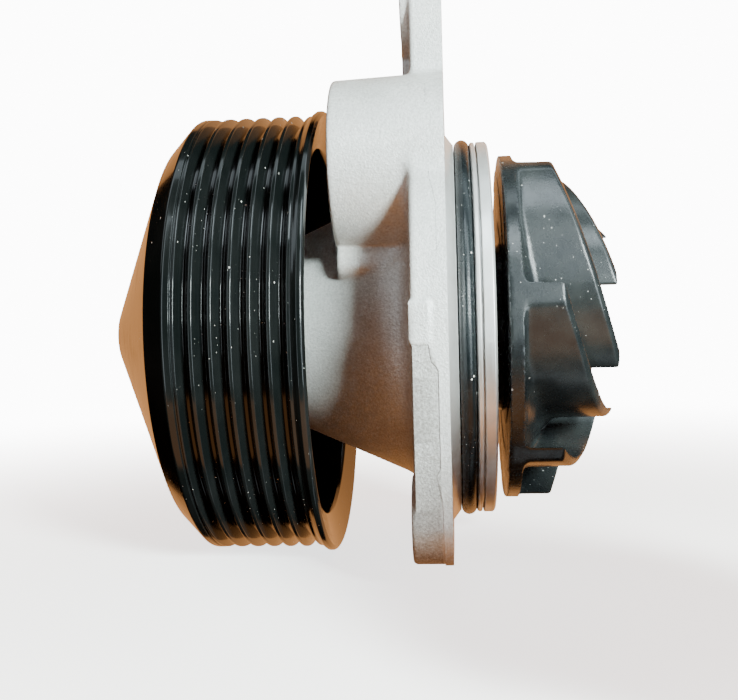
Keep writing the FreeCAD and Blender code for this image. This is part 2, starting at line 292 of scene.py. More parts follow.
def poly2(px, pr, pts):
    """2D signed distance to a closed polygon."""
    P = np.asarray(pts, float)
    d = np.full(px.shape, 1e18)
    s = np.ones(px.shape)
    n = len(P)
    for i in range(n):
        a, b = P[i], P[i - 1]
        e = b - a
        wx, wr = px - a[0], pr - a[1]
        t = np.clip((wx * e[0] + wr * e[1]) / (e @ e), 0, 1)
        dx, dr = wx - e[0] * t, wr - e[1] * t
        d = np.minimum(d, dx * dx + dr * dr)
        c1, c2, c3 = pr >= a[1], pr < b[1], e[0] * wr > e[1] * wx
        flip = (c1 & c2 & c3) | (~c1 & ~c2 & ~c3)
        s = np.where(flip, -s, s)
    return s * np.sqrt(d)


def box3(P, c, hs, r):
    q = np.abs(P - np.asarray(c)) - (np.asarray(hs) - r)
    return np.linalg.norm(np.maximum(q, 0), axis=1) + np.minimum(q.max(1), 0) - r


# ================================================================= materials
class Mat:
    """Small helper for node materials in object space, metres."""

    def __init__(self, name, base=(0.5, 0.5, 0.5), metallic=0.0, rough=0.5, **kw):
        self.m = bpy.data.materials.new(name)
        self.m.use_nodes = True
        self.t = self.m.node_tree
        self.n = self.t.nodes
        self.b = self.n["Principled BSDF"]
        self.b.inputs["Base Color"].default_value = (*base, 1)
        self.b.inputs["Metallic"].default_value = metallic
        self.b.inputs["Roughness"].default_value = rough
        for k, v in kw.items():
            self.b.inputs[k].default_value = v
        self.co = self.n.new("ShaderNodeTexCoord").outputs["Object"]
        self.h = None

    def link(self, a, b):
        self.t.links.new(a, b)

    def mapping(self, scale=(1, 1, 1), rot=(0, 0, 0)):
        m = self.n.new("ShaderNodeMapping")
        m.inputs["Scale"].default_value = scale
        m.inputs["Rotation"].default_value = rot
        self.link(self.co, m.inputs["Vector"])
        return m.outputs["Vector"]

    def noise(self, size, detail=3, rough=0.55, vec=None, dist=0.0):
        """Noise whose features are about size metres across."""
        n = self.n.new("ShaderNodeTexNoise")
        n.inputs["Scale"].default_value = 1.0 / size
        n.inputs["Detail"].default_value = detail
        n.inputs["Roughness"].default_value = rough
        n.inputs["Distortion"].default_value = dist
        self.link(vec or self.co, n.inputs["Vector"])
        return n.outputs["Fac"]

    def voronoi(self, size, feature="F1", vec=None, rand=1.0):
        n = self.n.new("ShaderNodeTexVoronoi")
        n.feature = feature
        n.inputs["Scale"].default_value = 1.0 / size
        n.inputs["Randomness"].default_value = rand
        self.link(vec or self.co, n.inputs["Vector"])
        return n.outputs["Distance"]

    def ramp(self, fac, stops):
        n = self.n.new("ShaderNodeValToRGB")
        el = n.color_ramp.elements
        while len(el) > 1:
            el.remove(el[-1])
        for i, (p, c) in enumerate(stops):
            e = el[0] if i == 0 else el.new(p)
            e.position = p
            c = (c, c, c) if isinstance(c, (int, float)) else c
            e.color = (*c, 1)
        self.link(fac, n.inputs["Fac"])
        return n.outputs["Color"]

    def remap(self, fac, a, b, lo, hi):
        n = self.n.new("ShaderNodeMapRange")
        n.inputs["From Min"].default_value = a
        n.inputs["From Max"].default_value = b
        n.inputs["To Min"].default_value = lo
        n.inputs["To Max"].default_value = hi
        self.link(fac, n.inputs["Value"])
        return n.outputs["Result"]

    def math(self, op, a, b=None, clamp=False):
        n = self.n.new("ShaderNodeMath")
        n.operation = op
        n.use_clamp = clamp
        for i, v in enumerate((a, b)):
            if v is None:
                continue
            if isinstance(v, (int, float)):
                n.inputs[i].default_value = v
            else:
                self.link(v, n.inputs[i])
        return n.outputs[0]

    def mix(self, fac, a, b, blend="MIX"):
        n = self.n.new("ShaderNodeMix")
        n.data_type = "RGBA"
        n.blend_type = blend
        for sock, v in ((n.inputs[0], fac), (n.inputs[6], a), (n.inputs[7], b)):
            if isinstance(v, (int, float)):
                sock.default_value = v
            elif isinstance(v, tuple):
                sock.default_value = (*v, 1)
            else:
                self.link(v, sock)
        return n.outputs[2]

    def color(self, v):
        self.link(v, self.b.inputs["Base Color"])

    def rough(self, v):
        self.link(v, self.b.inputs["Roughness"])

    def metal(self, v):
        self.link(v, self.b.inputs["Metallic"])

    def bump(self, height, dist, strength=1.0):
        """Adds a layer of relief, dist metres deep."""
        n = self.n.new("ShaderNodeBump")
        n.inputs["Strength"].default_value = strength
        n.inputs["Distance"].default_value = dist
        self.link(height, n.inputs["Height"])
        if self.h is not None:
            self.link(self.h, n.inputs["Normal"])
        self.h = n.outputs["Normal"]
        self.link(self.h, self.b.inputs["Normal"])

    def xyz(self, vec=None):
        n = self.n.new("ShaderNodeSeparateXYZ")
        self.link(vec or self.co, n.inputs[0])
        return n.outputs

    def radius(self):
        s = self.xyz()
        return self.math("SQRT", self.math("ADD", self.math("MULTIPLY", s[1], s[1]), self.math("MULTIPLY", s[2], s[2])))

    def combine(self, x, y, z):
        n = self.n.new("ShaderNodeCombineXYZ")
        for i, v in enumerate((x, y, z)):
            if isinstance(v, (int, float)):
                n.inputs[i].default_value = v
            else:
                self.link(v, n.inputs[i])
        return n.outputs[0]

    def turned(self, size=0.00018):
        """Height of fine tool marks running round the X axis."""
        s = self.xyz()
        v = self.combine(s[0], self.radius(), 0.0)
        return self.noise(size, 2, 0.6, v)

    def dust(self, size=0.0026, amount=0.05):
        """Mask of scattered pale specks and short fibres."""
        warp = self.noise(size * 1.7, 2)
        v = self.voronoi(size)
        spot = self.remap(v, amount, amount + 0.03, 1, 0)
        keep = self.remap(warp, 0.46, 0.50, 0, 1)
        vec = self.mapping((1.0, 1.0, 0.22), (0.4, 0.9, 0.3))
        fib = self.remap(self.voronoi(size * 0.8, vec=vec), amount * 0.6, amount * 0.6 + 0.02, 1, 0)
        keep2 = self.remap(self.noise(size * 2.3, 1), 0.54, 0.58, 0, 1)
        tiny = self.remap(self.voronoi(size * 0.36), 0.055, 0.085, 0.8, 0)
        keep3 = self.remap(self.noise(size * 4.5, 2), 0.50, 0.62, 0, 1)
        m = self.math("MAXIMUM", self.math("MULTIPLY", spot, keep), self.math("MULTIPLY", fib, keep2))
        return self.math("MAXIMUM", m, self.math("MULTIPLY", tiny, keep3))


def mat_cast():
    m = Mat("cast_aluminium", (0.66, 0.67, 0.66), 0.45, 0.5)
    blotch = m.noise(0.011, 4, 0.6)
    fine = m.noise(0.0005, 2, 0.5)
    tone = m.mix(m.remap(blotch, 0.3, 0.7, 0, 1), (0.60, 0.615, 0.605), (0.74, 0.75, 0.74))
    tone = m.mix(m.remap(fine, 0.35, 0.7, 0, 0.6), tone, (0.42, 0.425, 0.42))
    # a little handling grime in patches
    grime = m.remap(m.noise(0.016, 5, 0.65), 0.60, 0.74, 0, 0.35)
    tone = m.mix(grime, tone, (0.46, 0.42, 0.36))
    # painted shade: the rim below the die line, which turns downward away from the light, is coloured a darker grey,
    # broken up by a coarse grain
    p = m.xyz()
    edge = m.math("MULTIPLY", m.math("SUBTRACT", m.noise(0.0012, 3), 0.5), 0.0004)
    below = m.remap(m.math("ADD", p[2], edge), -0.00265, -0.00275, 0, 1)
    slant = m.math("ADD", p[0], m.math("MULTIPLY", m.math("MAXIMUM", m.math("ADD", p[2], 0.0073), 0.0), 0.36))
    left = m.remap(m.math("ADD", slant, edge), -0.00180, -0.00190, 0, 1)
    rim = m.math("MULTIPLY", m.math("MULTIPLY", below, left), m.remap(p[1], -0.0400, -0.0404, 0, 1))
    coarse = m.remap(m.noise(0.00045, 3, 0.7), 0.35, 0.65, 0.25, 1.0)
    # painted shade: the lower rim region is mixed toward dark grey
    tone = m.mix(m.math("MULTIPLY", rim, coarse), tone, (0.30, 0.295, 0.28))
    m.color(tone)
    m.rough(m.remap(m.noise(0.004, 3), 0.3, 0.7, 0.42, 0.58))
    # blasted skin: pits and peens at three sizes
    m.bump(m.noise(0.00032, 2, 0.6), 0.00012, 0.75)
    m.bump(m.voronoi(0.00058), 0.00008, 0.45)
    m.bump(m.noise(0.007, 3, 0.5), 0.00020, 0.22)
    return m.m


def mat_machined(name="machined_aluminium"):
    m = Mat(name, (0.83, 0.83, 0.82), 0.80, 0.32)
    m.color(m.mix(m.remap(m.noise(0.006, 4), 0.35, 0.7, 0, 1), (0.86, 0.86, 0.85), (0.70, 0.69, 0.67)))
    stain = m.remap(m.noise(0.003, 5, 0.7), 0.56, 0.66, 0, 1)
    m.rough(m.math("ADD", m.remap(m.turned(0.0006), 0.3, 0.7, 0.30, 0.40), m.math("MULTIPLY", stain, 0.15)))
    m.bump(m.turned(0.00022), 0.00001, 0.35)
    m.bump(m.noise(0.0016, 4, 0.65), 0.00004, 0.25)
    return m.m


def mat_pulley():
    m = Mat("pulley_black_gloss", (0.004, 0.005, 0.005), 0.0, 0.10, **{"Specular IOR Level": 0.5, "Coat Weight": 0.1, "Coat Roughness": 0.05})
    d = m.dust(0.0034, 0.034)
    tone = m.mix(m.remap(m.noise(0.014, 4), 0.4, 0.7, 0, 1), (0.003, 0.004, 0.004), (0.007, 0.008, 0.008))
    m.color(m.mix(d, tone, (0.62, 0.61, 0.58)))
    # faint scuffs along the grooves
    s = m.xyz()
    ring = m.noise(0.0005, 3, 0.7, m.combine(s[0], m.radius(), m.math("MULTIPLY", m.noise(0.02, 2), 0.004)))
    r = m.math("ADD", m.remap(ring, 0.40, 0.75, 0.10, 0.17), m.math("MULTIPLY", d, 0.5))
    m.rough(m.math("ADD", r, m.remap(m.noise(0.009, 4), 0.5, 0.75, 0, 0.08)))
    m.bump(m.noise(0.0030, 2), 0.00003, 0.16)
    m.bump(d, 0.00005, 0.5)
    return m.m


def mat_impeller():
    m = Mat("impeller_black", (0.010, 0.013, 0.015), 0.0, 0.22, **{"Specular IOR Level": 0.6, "Coat Weight": 0.1, "Coat Roughness": 0.12})
    d = m.dust(0.0040, 0.030)
    tone = m.mix(m.remap(m.noise(0.008, 4), 0.35, 0.7, 0, 1), (0.008, 0.010, 0.011), (0.020, 0.023, 0.023))
    m.color(m.mix(d, tone, (0.5, 0.5, 0.5)))
    m.rough(m.remap(m.noise(0.003, 4, 0.65), 0.3, 0.75, 0.20, 0.34))
    m.bump(m.noise(0.00045, 2, 0.6), 0.00004, 0.5)
    m.bump(m.noise(0.004, 2), 0.00012, 0.3)
    return m.m


def mat_rubber(name="black_rubber", dusty=True):
    m = Mat(name, (0.010, 0.012, 0.013), 0.0, 0.36, **{"Specular IOR Level": 0.45})
    tone = m.mix(m.remap(m.noise(0.004, 4), 0.35, 0.7, 0, 1), (0.004, 0.006, 0.007), (0.010, 0.013, 0.014))
    if dusty:
        d = m.dust(0.0030, 0.05)
        m.color(m.mix(d, tone, (0.66, 0.66, 0.64)))
        m.rough(m.math("ADD", m.remap(m.noise(0.002, 4, 0.7), 0.3, 0.7, 0.20, 0.30), m.math("MULTIPLY", d, 0.3)))
    else:
        m.color(tone)
        m.rough(m.remap(m.noise(0.002, 4, 0.7), 0.3, 0.7, 0.35, 0.55))
    m.bump(m.noise(0.0004, 3, 0.6), 0.00004, 0.6)
    return m.m


def mat_steel(name, base, rough, turned=0.00014, metal=1.0):
    m = Mat(name, base, metal, rough)
    lo = tuple(c * 0.82 for c in base)
    m.color(m.mix(m.remap(m.noise(0.005, 4), 0.3, 0.7, 0, 1), base, lo))
    m.rough(m.math("ADD", m.remap(m.turned(turned * 2), 0.3, 0.7, rough * 0.8, rough * 1.25), m.remap(m.noise(0.003, 5), 0.55, 0.7, 0, 0.12)))
    m.bump(m.turned(turned), 0.000015, 0.5)
    return m.m


def mat_plain(name, base, rough, grain=0.0003, depth=0.00003, metal=0.0):
    m = Mat(name, base, metal, rough)
    hi = tuple(min(1, c * 1.25 + 0.004) for c in base)
    m.color(m.mix(m.remap(m.noise(0.003, 4), 0.3, 0.7, 0, 1), base, hi))
    m.rough(m.remap(m.noise(0.0015, 4), 0.3, 0.7, rough * 0.85, min(1, rough * 1.2)))
    m.bump(m.noise(grain, 3, 0.6), depth, 0.6)
    return m.m


M = {
    "cast": mat_cast(),
    "machined": mat_machined(),
    "pulley_black": mat_pulley(),
    "impeller_black": mat_impeller(),
    "rubber": mat_rubber("seal_rubber", False),
    "oring": mat_rubber("o_ring_rubber", True),
    "steel": mat_steel("ground_steel", (0.60, 0.60, 0.59), 0.24),
    "bearing_steel": mat_steel("bearing_steel", (0.68, 0.68, 0.68), 0.12),
    "brass": mat_steel("drawn_brass", (0.78, 0.58, 0.27), 0.26),
    "plug_steel": mat_steel("plated_steel", (0.58, 0.57, 0.52), 0.34),
    "carbon": mat_plain("seal_carbon", (0.03, 0.03, 0.032), 0.45),
    "ceramic": mat_plain("seal_ceramic", (0.78, 0.75, 0.68), 0.22, 0.0002, 0.00001),
    "cage_plastic": mat_plain("cage_nylon", (0.62, 0.55, 0.40), 0.42),
    "weep_plastic": mat_plain("weep_cap_plastic", (0.015, 0.015, 0.016), 0.38),
}

# carried-over nodes take a finish by their slot
slot_of = {s["node"]: s["material_slot"] for s in frame["record"]["subparts"]}
for node, obj in frame["nodes"].items():
    mat = M.get(slot_of.get(node, "steel"), M["steel"])
    if not obj.material_slots:
        obj.data.materials.append(mat)
    for sl in obj.material_slots:
        sl.link = "OBJECT"
        sl.material = mat


# ==================================================================== pulley
TIP_X0, PITCH, GROOVES, TIP_R, ROOT_R = -45.98, 3.56, 6, 47.45, 44.75


def pulley_profile():
    pts = [(-73.7, 0.0), (-73.7, 6.6, 1.2), (-56.1, 42.5, 1.3), (-51.2, 47.45, 0.9), (-49.85, 47.45, 0.12),
           (-49.70, 47.1, 0.1), (-49.45, 47.1, 0.1), (-49.3, 47.42, 0.12), (-48.95, 47.4, 0.3)]
    for i in range(GROOVES):
        xr = TIP_X0 - PITCH / 2 + PITCH * i
        pts += [(xr - 0.42, ROOT_R, 0.38), (xr + 0.42, ROOT_R, 0.38)]
        if i < GROOVES - 1:
            xt = TIP_X0 + PITCH * i
            pts += [(xt - 0.36, TIP_R, 0.3), (xt + 0.36, TIP_R, 0.3)]
    pts += [(-28.55, 47.35, 0.35), (-27.9, 47.25, 0.4), (-27.2, 47.85, 0.5), (-26.6, 48.3, 0.4), (-25.7, 48.3, 0.6),
            (-25.2, 47.5, 0.5), (-27.35, 40.45, 0.45), (-28.0, 40.25, 0.3),
            (-50.6, 39.4, 2.0), (-53.3, 37.0, 2.0), (-63.0, 17.0, 1.5), (-58.6, 16.4, 0.6), (-58.6, 12.0, 0.3),
            (-69.0, 12.0), (-71.2, 8.6), (-71.2, 0.0)]
    return pts


def make_pulley():
    prof = rounded(pulley_profile(), 5)
    C, F = lathe_arrays(prof, 288)
    co, faces = [tuple(p) for p in C], [list(f) for f in F]
    # six drafted ribs between the hub sleeve and the cone
    for k in range(6):
        a = math.radians(60 * k + 15)
        ca, sa = math.cos(a), math.sin(a)
        prof2 = [(-68.0, 15.0), (-54.8, 37.6), (-54.2, 37.6), (-57.4, 34.4), (-59.0, 16.2), (-59.0, 15.0)]
        base = len(co)
        for t in (-1.2, 1.2):
            for x, r in prof2:
                w = t * (1.0 if x < -60 else 0.86)
                co.append((x, r * ca * 1.0 - w * sa, r * sa + w * ca))
        n = len(prof2)
        faces.append([base + i for i in range(n)][::-1])
        faces.append([base + n + i for i in range(n)])
        for i in range(n):
            j = (i + 1) % n
            faces.append([base + i, base + j, base + n + j, base + n + i])
    return from_arrays("pulley_moulding", np.array(co), faces, M["pulley_black"], 34, True)


o = make_pulley()
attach(o, "rotor"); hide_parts("pulley")


# =================================================================== housing
FL_T, FL_R = 6.6, 48.5
BY, BZ = -20.0, 33.0
BOSS_X, BOSS_R0, BOSS_R1 = -22.0, 17.3, 18.1
EAR, LOW_N, LOW_F, UP_F = (-10.0, 69.0), (-40.5, -34.5), (39.5, -40.2), (40.5, 34.5)
PADS = ((EAR, -8.5, 11.0, 7.6), (LOW_N, -7.2, 8.0, 6.9), (LOW_F, -7.2, 7.6, 6.6), (UP_F, -7.2, 8.6, 7.2))
WD = (0.6428, -0.7660)


def flange2d(y, z):
    d = np.hypot(y, z) - FL_R
    for c, r in ((LOW_N, 8.5), (LOW_F, 8.0), (UP_F, 9.5)):
        d = np.minimum(d, capsule2(y, z, (0, 0), FL_R, c, r))
    e = capsule2(y, z, (EAR[0], 36.0), 11.499, EAR, 11.5)
    return smin(d, e, 4.0) + 0.10


def cast_field(P):
    x, y, z = P[:, 0], P[:, 1], P[:, 2]
    r = np.hypot(y, z)
    d2 = flange2d(y, z)
    plate = extrude(d2, x, -FL_T, 3.0, 0.8)
    # squeezed-out lug of flash just above the die line
    plate = smin(plate, box3(P, (-5.0, -46.2, 1.2), (2.0, 2.3, 3.9), 0.5), 0.5)
    # neck and bearing nose
    prof = [(-55.0, -5.0), (-55.0, 19.8), (-36.0, 19.8), (-FL_T + 0.4, 32.9), (0.4, 36.0), (0.4, -5.0)]
    neck = poly2(x, r, prof)
    neck = smax(neck, -(x + 55.0), 1.6)
    body = smin(plate, neck, 3.4)
    # boss with a drafted side and rounded end
    rb = BOSS_R0 + (x - BOSS_X) * ((BOSS_R1 - BOSS_R0) / -BOSS_X)
    db = (np.hypot(y - BY, z - BZ) - rb) * 0.998
    boss = smax(np.maximum(db, x - 3.0), BOSS_X - x, 0.8)
    body = smin(body, boss, 2.2)
    # web under the boss
    qy, qz = np.abs(y + 20.5) - (6.5 - 2.7), np.abs(z - 13.8) - (3.3 - 2.7)
    dw = np.hypot(np.maximum(qy, 0), np.maximum(qz, 0)) + np.minimum(np.maximum(qy, qz), 0) - 2.7
    web = smax(np.maximum(dw, x + 2.0), BOSS_X + 0.25 - x, 0.9)
    body = smin(body, web, 0.9)
    # ear: raised pad round the hole, and a low wall on its far half
    wall = box3(P, (-FL_T + 0.1, -4.0, 50.5), (2.25, 3.0, 13.5), 0.7)
    body = smin(body, wall, 1.0)
    for c, x0, rr, _ in PADS:
        p = extrude(np.hypot(y - c[0], z - c[1]) - rr, x, x0, 0.0, 0.4)
        body = smin(body, p, 0.8)
    # round ejector marks on the flange's front face
    for c in ((12.0, 44.0), (44.5, 2.0), (2.0, -44.2), (-43.8, 4.0)):
        q = np.hypot(y - c[0], z - c[1]) - 2.4
        body = smax(body, -extrude(q, x, -FL_T - 3.0, -FL_T + 0.25, 0.1), 0.3)
    return body


def cyl_cutter(name, x0, x1, r, y=0.0, z=0.0, n=96, chamfer0=0.0, chamfer1=0.0):
    pts = [(x0, 0), (x0, r + chamfer0)]
    if chamfer0:
        pts.append((x0 + chamfer0 + 0.001, r))
    if chamfer1:
        pts.append((x1 - chamfer1 - 0.001, r))
    pts += [(x1, r + chamfer1), (x1, 0)]
    C, F = lathe_arrays(pts, n, y, z)
    return from_arrays(name, C, F, M["machined"])


def drain_frame(C):
    """Points turned about X, moved onto the drain's axis."""
    ax = np.array([0.0, WD[0], WD[1]])
    side = np.array([0.0, -WD[1], WD[0]])
    return np.array([-12.0, 0, 0]) + (C[:, :1] + 10.0) * ax + C[:, 1:2] * side + C[:, 2:3] * np.array([1.0, 0, 0])


def rim_radius(phi, inset, c=(0.0, 0.0), field=None):
    """Distance from c to the flange outline, less an inset, at each angle."""
    lo, hi = np.full(phi.shape, 5.0), np.full(phi.shape, 90.0)
    for _ in range(50):
        mid = 0.5 * (lo + hi)
        v = (field or flange2d)(c[0] + mid * np.cos(phi), c[1] + mid * np.sin(phi))
        lo, hi = np.where(v < -inset, mid, lo), np.where(v < -inset, hi, mid)
    return 0.5 * (lo + hi)


def rim_strip(name, phi, x0, x1, depth, c=(0.0, 0.0), field=None):
    """Prism that follows the outline, from depth below it to well outside."""
    ri = rim_radius(phi, depth, c, field)
    ro = ri + depth + 2.0
    cs, sn = np.cos(phi), np.sin(phi)
    n = len(phi)
    P = np.stack([np.stack([x0, c[0] + ri * cs, c[1] + ri * sn], -1), np.stack([x0, c[0] + ro * cs, c[1] + ro * sn], -1),
                  np.stack([x1, c[0] + ro * cs, c[1] + ro * sn], -1), np.stack([x1, c[0] + ri * cs, c[1] + ri * sn], -1)], 1).reshape(-1, 3)
    faces = [[0, 1, 2, 3], [4 * n - 1, 4 * n - 2, 4 * n - 3, 4 * n - 4]]
    for i in range(n - 1):
        for k in range(4):
            k2 = (k + 1) % 4
            faces.append([4 * i + k, 4 * (i + 1) + k, 4 * (i + 1) + k2, 4 * i + k2])
    o = from_arrays(name, P, faces, M["cast"])
    bm = bmesh.new()
    bm.from_mesh(o.data)
    if bm.calc_volume(signed=True) < 0:
        bmesh.ops.reverse_faces(bm, faces=bm.faces)
    bm.to_mesh(o.data)
    bm.free()
    return o


# the die halves meet along this line on the near rim: z, x
SEAM_Z = (-2.7, -5.8, -6.6, -7.3, -24.5, -25.5, -30.2, -49.0)
SEAM_X = (-3.5, -3.0, -2.2, -1.85, -1.82, -2.6, -1.6, -1.5)


def seam_x(z):
    return np.interp(-z, [-q for q in SEAM_Z], SEAM_X)


def part_lines(o):
    # the lower half of the rim stands a little back from the upper one
    phi = np.radians(np.linspace(183.2, 262.0, 160))
    r = rim_radius(phi, 0.0)
    z = r * np.sin(phi)
    boolean(o, rim_strip("cut_seam", phi, np.full(phi.shape, -9.0), seam_x(z), 0.19))
    # fine creases where the upper half closes
    zc = np.array([30.0, 27.5, 25.0, 22.5, 18.0, 13.6])
    xc = np.array([-3.1, -2.9, -2.3, -1.85, -1.8, -1.75])
    phi = np.radians(np.linspace(143.5, 163.5, 40))
    z = rim_radius(phi, 0.0) * np.sin(phi)
    x = np.interp(-z, -zc, xc)
    boolean(o, rim_strip("cut_crease", phi, x - 0.07, x + 0.07, 0.10))
    phi = np.radians(np.linspace(131.0, 149.5, 20))
    x = -3.5 + 0.12 * np.sin(np.arange(20) * 0.7)
    boolean(o, rim_strip("cut_crease2", phi, x - 0.07, x + 0.07, 0.10, (BY, BZ), lambda y, z: np.hypot(y - BY, z - BZ) - 17.98))


def make_housing():
    h = 0.42
    V, Q = mesh_field(cast_field, (-58.0, -53.0, -53.0), (3.0, 53.0, 84.0), h)
    me = bpy.data.meshes.new("housing_casting")
    me.from_pydata((V * MM).tolist(), [], Q.tolist())
    me.update()
    me.materials.append(M["cast"])
    me.materials.append(M["machined"])
    o = link(bpy.data.objects.new("housing_casting", me))
    # mating plane
    C, F = lathe_arrays([(0.0, 0), (0.0, 120.0), (6.0, 120.0), (6.0, 0)], 64)
    boolean(o, from_arrays("cut_plane", C, F, M["machined"]))
    part_lines(o)
    # bearing bore, drain chamber and seal seat
    bore = [(-56.0, 0), (-56.0, 16.2), (-54.9, 15.6), (-54.3, 15.0), (-16.7, 15.0), (-16.7, 13.4), (-15.2, 13.4), (-14.6, 12.6),
            (-4.0, 12.6), (-4.0, 18.3), (1.0, 18.3), (1.0, 0)]
    C, F = lathe_arrays(bore, 160)
    boolean(o, from_arrays("cut_bore", C, F, M["machined"]))
    for c, x0, rr, ring in PADS:
        boolean(o, cyl_cutter("cut_hole", x0 - 0.4, 0.001, 4.3, c[0], c[1], 72, 0.8, 0.35))
        # the pad's skimmed top
        boolean(o, cyl_cutter("cut_skim", x0 - 2.0, x0 + 0.10, ring, c[0], c[1], 96))
    # reservoir in the boss
    b = BOSS_X
    C, F = lathe_arrays([(b - 1.4, 0), (b - 1.4, 12.2), (b - 0.1, 12.2), (b + 0.6, 11.5), (b + 4.0, 11.5), (b + 4.0, 11.0), (-9.0, 10.6), (-9.0, 0)], 96, BY, BZ)
    boolean(o, from_arrays("cut_res", C, F, M["machined"]))
    # drain hole underneath
    C, F = lathe_arrays([(0.0, 0), (0.0, 2.5), (30.0, 2.5), (30.0, 0)], 40)
    boolean(o, from_arrays("cut_weep", drain_frame(C), F, M["machined"]))
    me = o.data
    me.materials.clear()
    me.materials.append(M["cast"])
    me.materials.append(M["machined"])
    # faces cut by a tool are bright: the mating plane, the bores and the pads
    n = len(me.polygons)
    nor = np.empty(n * 3)
    cen = np.empty(n * 3)
    me.polygons.foreach_get("normal", nor)
    me.polygons.foreach_get("center", cen)
    nor, cen = nor.reshape(-1, 3), cen.reshape(-1, 3) / MM
    mi = np.zeros(n, np.int32)
    rr = np.hypot(cen[:, 1], cen[:, 2])
    mi[(cen[:, 0] > -0.02) & (nor[:, 0] > 0.9)] = 1
    mi[(rr < 18.5) & (cen[:, 0] > -54.95)] = 1
    for c, x0, _, ring in PADS:
        q = np.hypot(cen[:, 1] - c[0], cen[:, 2] - c[1])
        mi[(q < 5.4)] = 1
        mi[(q < ring + 0.05) & (nor[:, 0] < -0.95) & (cen[:, 0] < x0 + 0.2)] = 1
    q = np.hypot(cen[:, 1] - BY, cen[:, 2] - BZ)
    mi[(q < 12.3) & (cen[:, 0] < -18.0) & (rr > 20.5)] = 1
    me.polygons.foreach_set("material_index", mi)
    me.update()
    set_shading(me, 38)
    return o


def make_spigot():
    pts = [(-0.35, 18.25), (-0.35, 42.15), (-0.02, 42.2, 0.08), (1.6, 40.05, 0.12), (1.72, 39.95, 0.05), (1.74, 37.66, 0.3), (5.10, 37.66, 0.3),
           (5.12, 40.0, 0.1), (5.40, 40.35, 0.2), (5.95, 40.35, 0.15), (6.12, 40.2, 0.05), (6.14, 38.45, 0.12), (6.50, 38.45, 0.12), (6.52, 40.2, 0.05),
           (6.64, 40.4, 0.08), (8.40, 40.4, 0.35), (8.8, 39.95, 0.2), (8.8, 22.0, 0.3), (6.4, 21.0, 0.4), (5.4, 18.25, 0.2)]
    return lathe("housing_spigot", rounded(pts, 4), M["machined"], 288)


o = make_housing()
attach(o, "housing"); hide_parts("housing")
o = make_spigot()
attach(o, "housing"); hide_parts("housing")


# ==================================================================== o-ring
def make_oring():
    n, m = 288, 40
    rng = np.random.default_rng(4)
    R0, s0 = 39.30, 1.62
    co, faces = [], []
    wob = np.convolve(rng.normal(0, 1, n + 40), np.ones(41) / 41, "valid")[:n]
    wob = wob * np.minimum(1, np.minimum(np.arange(n), n - np.arange(n)) / 20.0)
    for i in range(n):
        a = 2 * math.pi * i / n
        for j in range(m):
            b = 2 * math.pi * j / m
            s = s0
            # moulding seam round the outside
            s += 0.03 * math.exp(-((b) / 0.05) ** 2) + 0.03 * math.exp(-((b - 2 * math.pi) / 0.05) ** 2)
            rr = R0 + s * math.cos(b) + 0.02 * wob[i]
            x = 3.42 + s * math.sin(b) + 0.05 * wob[(i * 3) % n]
            co.append((x, rr * math.cos(a), rr * math.sin(a)))
    for i in range(n):
        for j in range(m):
            i2, j2 = (i + 1) % n, (j + 1) % m
            faces.append([i * m + j, i2 * m + j, i2 * m + j2, i * m + j2])
    o = from_arrays("o_ring_seal", np.array(co), faces, M["oring"], 60)
    bm = bmesh.new()
    bm.from_mesh(o.data)
    if bm.calc_volume(signed=True) < 0:
        bmesh.ops.reverse_faces(bm, faces=bm.faces)
    bm.to_mesh(o.data)
    bm.free()
    return o


o = make_oring()
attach(o, "housing"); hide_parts("o_ring")


# ================================================================== impeller
IMP_R, VRI, WRAP, VT, NV, TIP0 = 37.4, 19.0, math.radians(84.5), 1.9, 7, 10.0
KS = math.log(IMP_R / VRI) / WRAP
EX_OUT, EX_IN = 21.5, 34.4


def impeller_field(P):
    x, y, z = P[:, 0], P[:, 1], P[:, 2]
    r = np.hypot(y, z)
    th = np.arctan2(z, -y)
    hub = [(9.5, 11.0), (9.5, 17.9), (11.3, 18.4), (11.3, 37.4), (13.9, 37.4), (14.1, 33.2), (15.2, 29.6), (17.2, 26.0), (19.8, 22.6), (22.8, 19.6),
           (25.4, 17.2), (27.4, 15.4), (29.0, 14.0), (30.0, 12.2), (30.0, 11.0)]
    dh = poly2(x, r, hub)
    rs = np.maximum(r, 4.0)
    u = th + np.log(IMP_R / rs) / KS - math.radians(TIP0)
    per = 2 * math.pi / NV
    u = (u + per / 2) % per - per / 2
    phi = math.atan(KS)
    # the vane thins a little towards its free edge
    top = EX_OUT + (EX_IN - EX_OUT) * (IMP_R - r) / (IMP_R - VRI)
    half = VT / 2 - 0.12 * np.clip((x - 14) / 16, 0, 1)
    dv = rs * np.abs(u) * math.sin(phi) - half
    slope = (EX_IN - EX_OUT) / (IMP_R - VRI)
    dt = (x - top) / math.sqrt(1 + slope * slope)
    v = smax(dv, dt, 0.45)
    v = smax(v, (VRI - r) * 0.93, 0.4)
    v = np.maximum(v, 12.0 - x)
    d = smin(dh, v, 1.7)
    d = smax(d, r - IMP_R, 0.45)
    d = np.maximum(d, 11.0 - r)
    return d


def make_impeller():
    V, Q = mesh_field(impeller_field, (8.0, -38.6, -38.6), (36.5, 38.6, 38.6), 0.33)
    o = from_arrays("impeller_moulding", V, Q, M["impeller_black"], 50)
    return o


o = make_impeller()
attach(o, "rotor"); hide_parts("impeller")

